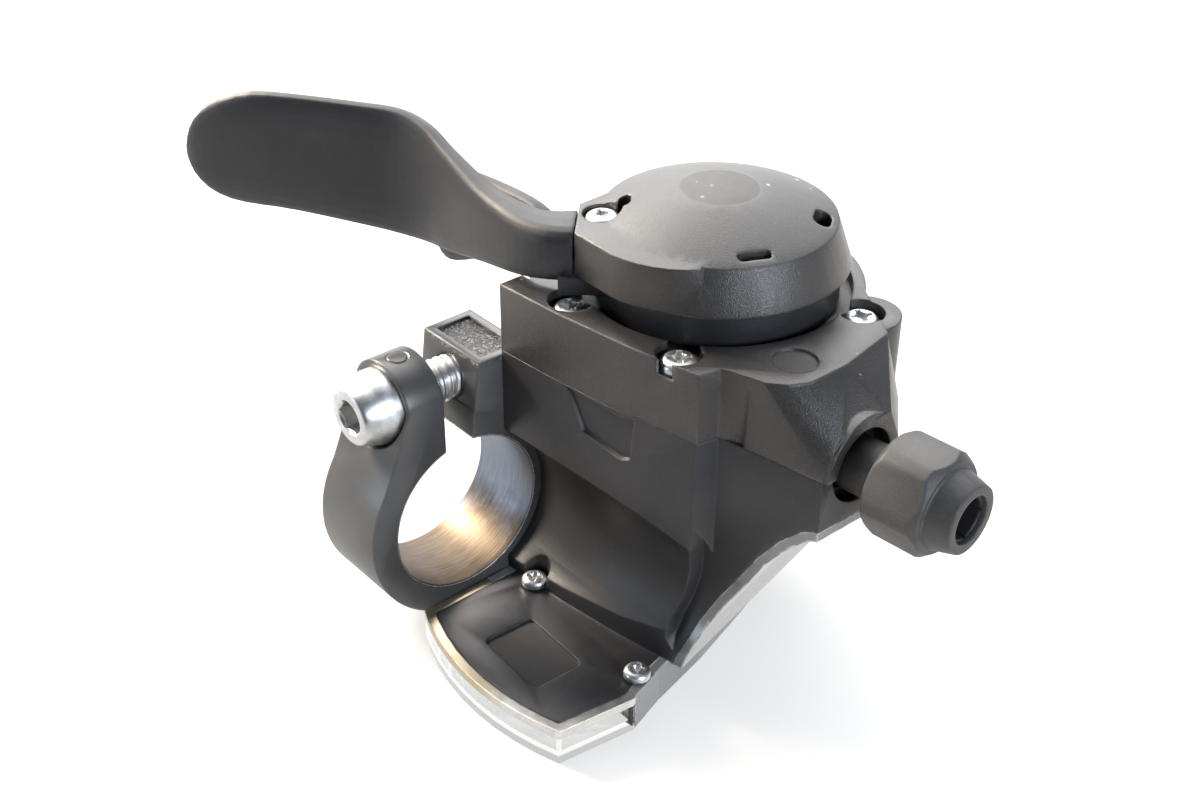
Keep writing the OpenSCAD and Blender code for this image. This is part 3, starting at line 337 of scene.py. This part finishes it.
def clearLens():
    look = {"dark": (0.9, 0.93, 0.95), "light": (0.97, 0.98, 0.98), "rim": (0.3, 0.33, 0.35), "rimFade": 0.3,
            "rimFoot": cadBox[0][2] / mm + 1.1, "hazePerMm": 0.4, "scratchPerMm": 1.4,
            "scratchAlong": (0.2, 1.0, 1.6), "scratchThinness": 140.0, "scratches": 0.4, "edgeRadius": 0.2,
            "roughness": 0.05, "hazeRough": 0.1, "scratchRough": 0.2, "depth": 0.004, "ior": 1.45}
    f = Finish("clearLens")
    haze = f.noise(look["hazePerMm"])
    scratch = f.noise(look["scratchPerMm"], 2.0, 0.5, f.stretched(*look["scratchAlong"]))
    soft = f.edge(look["edgeRadius"])[0]
    lines = (1.0 - abs(scratch - 0.5) * look["scratchThinness"]).clamped() * look["scratches"]
    roughness = look["roughness"] + (haze - 0.4).clamped() * look["hazeRough"] + lines * look["scratchRough"]
    foot = look["rimFoot"]
    painted = 1.0 - f.axis("Z").ramp(foot, foot + look["rimFade"])  # along the window's face
    colour = f.mix(painted, f.mix(haze, look["dark"], look["light"]), look["rim"])
    return f.close(colour=colour, roughness=roughness, transmission=1.0, ior=look["ior"],
                   normal=f.bump(lines + haze, look["depth"], soft))


print("finishes")
finishes = {
    "satin_black": coatedClamp(), "zinc": platedSteel("brightZinc", zincLook),
    "charcoal": mouldedPlastic("charcoalPlastic", coverLook),
    "hub": mouldedPlastic("hubPlastic", hubLook), "case_grey": mouldedPlastic("caseGrey", skirtLook),
    "slate_gloss": mouldedPlastic("slateGloss", slateAndReflectionLook), "clear": clearLens(),
    "trim": platedSteel("lightTrim", trimLook), "dial": mouldedPlastic("dialFace", dialLook),
    "steel": platedSteel("stampedSteel", sheetLook), "spring": platedSteel("springWire", springLook),
    "brass": platedSteel("turnedBrass", brassLook), "lever_black": mouldedPlastic("leverBlack", leverLook),
    "nylon": mouldedPlastic("palePolymer", nylonLook), "pointer_red": mouldedPlastic("pointerRed", pointerLook),
    "knob_grey": mouldedPlastic("knobGrey", knobLook),
}
for entry in frame["record"]["subparts"]:
    nodes[entry["node"]].data.materials.clear()
    nodes[entry["node"]].data.materials.append(finishes[entry["material_slot"]])


# Pieces grown by Geometry Nodes: a tree with named inputs, set on the points where its piece stands
class Recipe(Tree):
    seat = 0.05 * mm  # how far a shank reaches into its head
    weld = 0.001 * mm  # points this near each other become one

    def __init__(self, name, inputs):
        super().__init__(bpy.data.node_groups.new(name, "GeometryNodeTree"))
        self.tree.interface.new_socket("Geometry", in_out="OUTPUT", socket_type="NodeSocketGeometry")
        self.tree.interface.new_socket("Places", in_out="INPUT", socket_type="NodeSocketGeometry")
        for label, (kind, value) in inputs.items():
            socket = self.tree.interface.new_socket(label, in_out="INPUT", socket_type=kind)
            if value is not None:
                socket.default_value = value
        self.source = self.tree.nodes.new("NodeGroupInput")

    def given(self, label):
        return Value(self.tree, self.source.outputs[label])

    def vector(self, x, y, z):
        return self.add("ShaderNodeCombineXYZ", None, {0: x, 1: y, 2: z})

    def join(self, *parts):
        node = self.tree.nodes.new("GeometryNodeJoinGeometry")
        for part in reversed(parts):
            self.tree.links.new(part.socket, node.inputs[0])
        return Value(self.tree, node.outputs[0])

    def moved(self, part, x, y, z, turn=(0, 0, 0)):
        return self.add("GeometryNodeTransform", None, {
            "Geometry": part, "Translation": self.vector(x, y, z), "Rotation": turn})

    def stacked(self, radius, height, steps, around):  # a closed turned head: steps are (rise, radius) shares
        disc = self.add("GeometryNodeMeshCircle", {"fill_type": "NGON"}, {"Vertices": around, "Radius": radius})
        base = self.add("GeometryNodeFlipFaces", None, {0: disc})
        body, top, share = disc, None, 1.0
        for rise, wide in steps:
            sockets = {"Mesh": body, "Offset": self.vector(0.0, 0.0, height * rise),
                       "Offset Scale": 1.0, "Individual": False}
            if top is not None:
                sockets["Selection"] = top
            body = self.add("GeometryNodeExtrudeMesh", {"mode": "FACES"}, sockets)
            top = Value(self.tree, body.socket.node.outputs["Top"])
            body = self.add("GeometryNodeScaleElements", {"domain": "FACE"}, {
                "Geometry": body, "Selection": top, "Scale": wide / share})
            share = wide
        return self.add("GeometryNodeMergeByDistance", None, {
            "Geometry": self.join(body, base), "Distance": self.weld})

    def without(self, body, *tools):
        node = self.tree.nodes.new("GeometryNodeMeshBoolean")
        node.operation = "DIFFERENCE"
        node.solver = "EXACT"
        node.inputs["Self Intersection"].default_value = True
        self.tree.links.new(body.socket, node.inputs["Mesh 1"])
        for tool in tools:
            self.tree.links.new(tool.socket, node.inputs["Mesh 2"])
        return Value(self.tree, node.outputs[0])

    def finish(self, piece, turn):
        placed = self.add("GeometryNodeInstanceOnPoints", None, {
            "Points": self.given("Places"), "Instance": piece, "Rotation": turn})
        real = self.add("GeometryNodeRealizeInstances", None, {"Geometry": placed})
        done = self.add("GeometryNodeSetMaterial", None, {"Geometry": real, "Material": self.given("Finish")})
        sink = self.tree.nodes.new("NodeGroupOutput")
        self.tree.links.new(done.socket, sink.inputs[0])
        return self.tree


def crossHeadRecipe():
    r = Recipe("crossHeadScrew", {
        "Head radius": ("NodeSocketFloat", 2.3 * mm), "Head height": ("NodeSocketFloat", 1.5 * mm),
        "Shank radius": ("NodeSocketFloat", 1.1 * mm), "Shank length": ("NodeSocketFloat", 14 * mm),
        "Cross width": ("NodeSocketFloat", 0.62 * mm), "Seed": ("NodeSocketInt", 4),
        "Finish": ("NodeSocketMaterial", None)})
    radius, height = r.given("Head radius"), r.given("Head height")
    steps = ((0.4, 1.0), (0.16, 0.985), (0.16, 0.93), (0.14, 0.83), (0.14, 0.68))
    head = r.stacked(radius, height, steps, 56)
    arm = r.add("GeometryNodeMeshCube", None, {
        "Size": r.vector(radius * 1.2, r.given("Cross width"), height * 1.2)})
    across = r.moved(arm, 0.0, 0.0, height * 1.1, (0, 0, math.pi / 2))
    along = r.moved(arm, 0.0, 0.0, height * 1.1)
    pit = r.add("GeometryNodeMeshCone", None, {
        "Vertices": 20, "Radius Top": radius * 0.4, "Radius Bottom": radius * 0.12, "Depth": height * 0.8})
    pit = r.moved(pit, 0.0, 0.0, height * 0.28)
    head = r.without(head, along, across, pit)
    shank = r.add("GeometryNodeMeshCylinder", None, {
        "Vertices": 24, "Radius": r.given("Shank radius"), "Depth": r.given("Shank length")})
    shank = r.moved(shank, 0.0, 0.0, r.given("Shank length") * -0.5 + r.seat)
    turn = r.add("FunctionNodeRandomValue", {"data_type": "FLOAT_VECTOR"}, {
        "Min": (0, 0, 0), "Max": (0, 0, math.tau), "Seed": r.given("Seed")})
    return r.finish(r.join(head, shank), turn)


def socketBoltRecipe():
    r = Recipe("socketBolt", {
        "Head radius": ("NodeSocketFloat", 4.95 * mm), "Head height": ("NodeSocketFloat", 5.2 * mm),
        "Key size": ("NodeSocketFloat", 4.8 * mm), "Thread radius": ("NodeSocketFloat", 3 * mm),
        "Thread length": ("NodeSocketFloat", 17 * mm), "Thread pitch": ("NodeSocketFloat", 1 * mm),
        "Turn": ("NodeSocketVector", (0, 0, 0)), "Finish": ("NodeSocketMaterial", None)})
    radius, height, key = r.given("Head radius"), r.given("Head height"), r.given("Key size")
    thick, length, pitch = r.given("Thread radius"), r.given("Thread length"), r.given("Thread pitch")
    steps = ((0.04, 1.0), (0.2, 1.0), (0.12, 0.975), (0.24, 0.9), (0.22, 0.83), (0.1, 0.79), (0.05, 0.76),
             (0.02, 0.73), (0.01, 0.7))
    head = r.stacked(radius, height, steps, 96)
    socket = r.add("GeometryNodeMeshCylinder", None, {
        "Vertices": 6, "Radius": key * 0.5, "Depth": height * 1.2})
    mouth = r.add("GeometryNodeMeshCone", None, {
        "Vertices": 48, "Radius Top": key * 0.56, "Radius Bottom": key * 0.36, "Depth": height * 0.2})
    head = r.without(head, r.moved(socket, 0.0, 0.0, height * 1.05), r.moved(mouth, 0.0, 0.0, height * 0.85))
    core = r.add("GeometryNodeMeshCylinder", None, {"Vertices": 48, "Radius": thick * 0.86, "Depth": length})
    core = r.moved(core, 0.0, 0.0, length * -0.5 + r.seat)
    inset = 0.3 * mm  # the thread's ends lie this far inside the core's
    helix = r.add("GeometryNodeCurveSpiral", None, {
        "Resolution": 40, "Rotations": length / pitch - 0.6, "Start Radius": thick * 0.9,
        "End Radius": thick * 0.9, "Height": length - 2 * inset})
    ridge = r.add("GeometryNodeCurvePrimitiveCircle", None, {"Resolution": 3, "Radius": pitch * 0.3})
    thread = r.add("GeometryNodeCurveToMesh", None, {
        "Curve": helix, "Profile Curve": ridge, "Fill Caps": True})
    thread = r.moved(thread, 0.0, 0.0, length * -1.0 + inset)
    return r.finish(r.join(head, core, thread), r.given("Turn"))


def growOn(name, tree, places, values, body, replaced):
    points = bpy.data.meshes.new(name + "Places")
    points.from_pydata([tuple(p) for p in places], [], [])
    holder = bpy.data.objects.new(name + "Holder", points)
    bpy.context.scene.collection.objects.link(holder)
    modifier = holder.modifiers.new("recipe", "NODES")
    modifier.node_group = tree
    for item in tree.interface.items_tree:
        if item.in_out == "INPUT" and item.name in values:
            modifier[item.identifier] = values[item.name]
    bpy.context.view_layer.update()
    graph = bpy.context.evaluated_depsgraph_get()
    mesh = bpy.data.meshes.new_from_object(holder.evaluated_get(graph))
    bpy.data.objects.remove(holder)
    standPiece(name, mesh, body, replaced)


def standPiece(name, mesh, body, replaced, sharpAbove=32):
    mesh.name = name
    mesh.shade_smooth()
    mesh.set_sharp_from_angle(angle=math.radians(sharpAbove))
    piece = bpy.data.objects.new(name, mesh)
    bpy.context.scene.collection.objects.link(piece)
    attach(piece, body)
    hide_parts(*replaced)


def headPlace(node, height):
    low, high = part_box(node)
    return (low.x + high.x) / 2, (low.y + high.y) / 2, high.z - height


def makeScrews():
    recipe = crossHeadRecipe()
    groups = {
        "coverScrews": {"nodes": ("cover_screw_left", "cover_screw_front", "cover_screw_rear"),
                        "body": "shell", "head": (2.3, 1.5), "shank": (1.1, 14), "cross": 0.66, "seed": 4},
        "displayScrews": {"nodes": ("saddle_screw_left", "saddle_screw_right"), "body": "shell",
                          "head": (1.75, 1.1), "shank": (1.0, 4.4), "cross": 0.5, "seed": 11},
        "hubScrew": {"nodes": ("hub_screw",), "body": "lever", "head": (2.15, 1.3), "shank": (0.98, 7),
                     "cross": 0.62, "seed": 7},
    }
    for name, g in groups.items():
        places = [headPlace(n, g["head"][1] * mm) for n in g["nodes"]]
        growOn(name, recipe, places, {
            "Head radius": g["head"][0] * mm, "Head height": g["head"][1] * mm,
            "Shank radius": g["shank"][0] * mm, "Shank length": g["shank"][1] * mm,
            "Cross width": g["cross"] * mm, "Seed": g["seed"],
            "Finish": finishes["zinc"]}, g["body"], g["nodes"])
    print("screws")


def makeClampBolt():
    look = {"head": (4.95, 5.2), "key": 4.8, "thread": (3.0, 17.1, 1.0)}
    low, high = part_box("clamp_bolt")
    place = ((low.x + high.x) / 2, low.y + look["head"][1] * mm, (low.z + high.z) / 2)
    growOn("clampBolt", socketBoltRecipe(), [place], {
        "Head radius": look["head"][0] * mm, "Head height": look["head"][1] * mm, "Key size": look["key"] * mm,
        "Thread radius": look["thread"][0] * mm, "Thread length": look["thread"][1] * mm,
        "Thread pitch": look["thread"][2] * mm, "Turn": (math.pi / 2, 0, 0), "Finish": finishes["zinc"]},
        "shell", ("clamp_bolt",))
    print("clamp bolt")


makeScrews()
makeClampBolt()


# CAD solids whose edges are rounded here: the copy keeps the solid's form
def softened(name, node, body, slot, width, finish=None):
    look = {"weld": 0.002 * mm, "flatBelow": 0.6, "roundAbove": 34, "segments": 3, "sharpAbove": 30}
    mesh = nodes[node].data.copy()
    work = bmesh.new()
    work.from_mesh(mesh)
    bmesh.ops.remove_doubles(work, verts=work.verts, dist=look["weld"])
    bmesh.ops.dissolve_degenerate(work, edges=work.edges, dist=look["weld"])
    flat = math.radians(look["flatBelow"])
    bmesh.ops.dissolve_limit(work, angle_limit=flat, verts=work.verts, edges=work.edges)
    work.to_mesh(mesh)
    work.free()
    holder = bpy.data.objects.new(name + "Holder", mesh)
    bpy.context.scene.collection.objects.link(holder)
    bevel = holder.modifiers.new("edges", "BEVEL")
    bevel.width = width * mm
    bevel.segments = look["segments"]
    bevel.limit_method = "ANGLE"
    bevel.angle_limit = math.radians(look["roundAbove"])
    bevel.miter_outer = "MITER_ARC"
    bpy.context.view_layer.update()
    graph = bpy.context.evaluated_depsgraph_get()
    result = bpy.data.meshes.new_from_object(holder.evaluated_get(graph))
    bpy.data.objects.remove(holder)
    if finish:
        result.materials.clear()
        result.materials.append(finishes[finish])
    standPiece(name, result, body, (node,), look["sharpAbove"])


def softenSolids():
    pieces = {
        "clampBand": ("clamp_band", "shell", "satin_black", 0.4),
        "baseCover": ("base_cover", "shell", "charcoal", 0.28),
        "hubCover": ("hub_cover", "lever", "charcoal", 0.3, "hub"),
        "knob": ("adjuster_knob", "knob", "knob_grey", 0.45),
        "caseShell": ("main_case", "shell", "case_grey", 0.3),
    }
    for name, choices in pieces.items():
        softened(name, *choices)
    print("softened solids")


softenSolids()


# Floor, light and camera
def raySeen(tree):  # rays that show a surface straight or through the lens, and rays that mirror it
    path = tree.nodes.new("ShaderNodeLightPath")
    through = Value(tree, path.outputs["Is Transmission Ray"])
    camera = Value(tree, path.outputs["Is Camera Ray"]).maths("MAXIMUM", through)
    return camera, Value(tree, path.outputs["Is Glossy Ray"])


def floorFinish():
    look = {"colour": (0.93, 0.9, 0.87), "high": (0.95, 0.93, 0.91), "mottlePerMm": 0.02,
            "shown": (1.0, 0.995, 0.985, 1.0), "share": 0.62, "mirrored": 1.7, "near": 0.12,
            "nearTone": (0.8, 0.78, 0.76), "farTone": (1.0, 0.98, 0.95),
            "far": (-0.656, 0.755), "fade": (-260.0, 120.0)}
    f = Finish("paleTable")
    mottle = f.noise(look["mottlePerMm"])
    diffuse = f.add("ShaderNodeBsdfDiffuse", None, {"Color": f.mix(mottle, look["colour"], look["high"])})
    camera, glossy = raySeen(f.tree)
    along = f.axis("X") * look["far"][0] + f.axis("Y") * look["far"][1]
    away = along.ramp(*look["fade"])  # dimmer on the camera's side
    mirrored = away * (look["mirrored"] - look["near"]) + look["near"]
    light = f.add("ShaderNodeEmission", None, {"Color": look["shown"], "Strength": 1.0})
    bounced = f.add("ShaderNodeEmission", None, {
        "Color": f.mix(away, look["nearTone"], look["farTone"]), "Strength": look["mirrored"]})
    unlit = f.add("ShaderNodeEmission", None, {"Color": (0.0, 0.0, 0.0, 1.0), "Strength": 0.0})
    bounced = f.add("ShaderNodeMixShader", None, {0: mirrored / look["mirrored"], 1: unlit, 2: bounced})
    plain = f.add("ShaderNodeMixShader", None, {0: camera * look["share"], 1: diffuse, 2: light})
    shader = f.add("ShaderNodeMixShader", None, {0: glossy, 1: plain, 2: bounced})
    f.add("ShaderNodeOutputMaterial", None, {0: shader})
    return f.material


def makeFloor():
    mesh = bpy.data.meshes.new("table")
    half, low = 3.0, cadBox[0][2]
    corners = [(-half, -half, low), (half, -half, low), (half, half, low), (-half, half, low)]
    mesh.from_pydata(corners, [], [(0, 1, 2, 3)])
    floor = bpy.data.objects.new("table", mesh)
    bpy.context.scene.collection.objects.link(floor)
    mesh.materials.append(floorFinish())


def makeWorld():
    look = {"low": (0.62, 0.66, 0.74, 1.0), "high": (1.0, 0.985, 0.96, 1.0), "seen": (1.0, 1.0, 1.0, 1.0),
            "toward": (-0.62, 0.42, 0.66), "from": 0.25, "focus": 2.6, "dim": 0.14, "bright": 6.5}
    world = bpy.data.worlds.new("studio")
    bpy.context.scene.world = world
    world.use_nodes = True
    w = Tree(world.node_tree)
    w.tree.nodes.clear()
    camera = raySeen(w.tree)[0]
    way = w.tree.nodes.new("ShaderNodeTexCoord").outputs["Generated"]
    aim = w.add("ShaderNodeVectorMath", {"operation": "DOT_PRODUCT"}, {0: way, 1: look["toward"]}, "Value")
    share = aim.ramp(look["from"], 1.0) ** look["focus"]
    tone = w.add("ShaderNodeMix", {"data_type": "RGBA"}, {0: share, 6: look["low"], 7: look["high"]}, 2)
    tone = w.add("ShaderNodeMix", {"data_type": "RGBA"}, {0: camera, 6: tone, 7: look["seen"]}, 2)
    strength = look["dim"] + share * (look["bright"] - look["dim"])
    strength = strength * (1.0 - camera) + camera
    background = w.add("ShaderNodeBackground", None, {"Color": tone, "Strength": strength})
    w.add("ShaderNodeOutputWorld", None, {0: background})


def addLamp(name, place, aim, size, power, colour):
    data = bpy.data.lights.new(name, "AREA")
    data.shape = "DISK"
    data.size = size
    data.energy = power
    data.color = colour
    lamp = bpy.data.objects.new(name, data)
    bpy.context.scene.collection.objects.link(lamp)
    lamp.location = place
    lamp.rotation_euler = (Vector(aim) - Vector(place)).to_track_quat("-Z", "Y").to_euler()


def makeLamps():
    lamps = {
        "window": {"place": (-0.4, -0.1, 0.28), "aim": (0.01, 0.02, 0.03), "size": 0.18, "power": 7.5,
                   "colour": (1.0, 0.88, 0.72)},
        "sky": {"place": (-0.24, -0.5, 0.1), "aim": (-0.03, -0.04, 0.03), "size": 0.16, "power": 0.5,
                "colour": (0.72, 0.86, 1.0)},
        "side": {"place": (0.42, 0.0, 0.16), "aim": (0.05, 0.02, 0.03), "size": 0.14, "power": 1.5,
                 "colour": (0.78, 0.89, 1.0)},
    }
    for name, look in lamps.items():
        addLamp(name, **look)


def makeCamera():
    look = {"place": (148.24, -100.80, 130.57), "azimuth": 48.98, "elevation": 32.97, "roll": 0.35,
            "lens": 49.146, "sensor": 36, "clipStart": 0.01}
    a, e, r = (math.radians(look[k]) for k in ("azimuth", "elevation", "roll"))
    back = Vector((math.sin(a) * math.cos(e), -math.cos(a) * math.cos(e), math.sin(e)))
    right = Vector((math.cos(a), math.sin(a), 0))
    up = back.cross(right)
    side = right * math.cos(r) + up * math.sin(r)
    top = up * math.cos(r) - right * math.sin(r)
    data = bpy.data.cameras.new("camera")
    data.lens = look["lens"]
    data.sensor_width = look["sensor"]
    data.clip_start = look["clipStart"]
    camera = bpy.data.objects.new("camera", data)
    bpy.context.scene.collection.objects.link(camera)
    turn = Matrix((side, top, back)).transposed().to_4x4()
    camera.matrix_world = Matrix.Translation(Vector(look["place"]) * mm) @ turn
    bpy.context.scene.camera = camera


makeFloor()
makeWorld()
makeLamps()
makeCamera()
bpy.context.scene.view_settings.view_transform = "Standard"
print("light and camera")
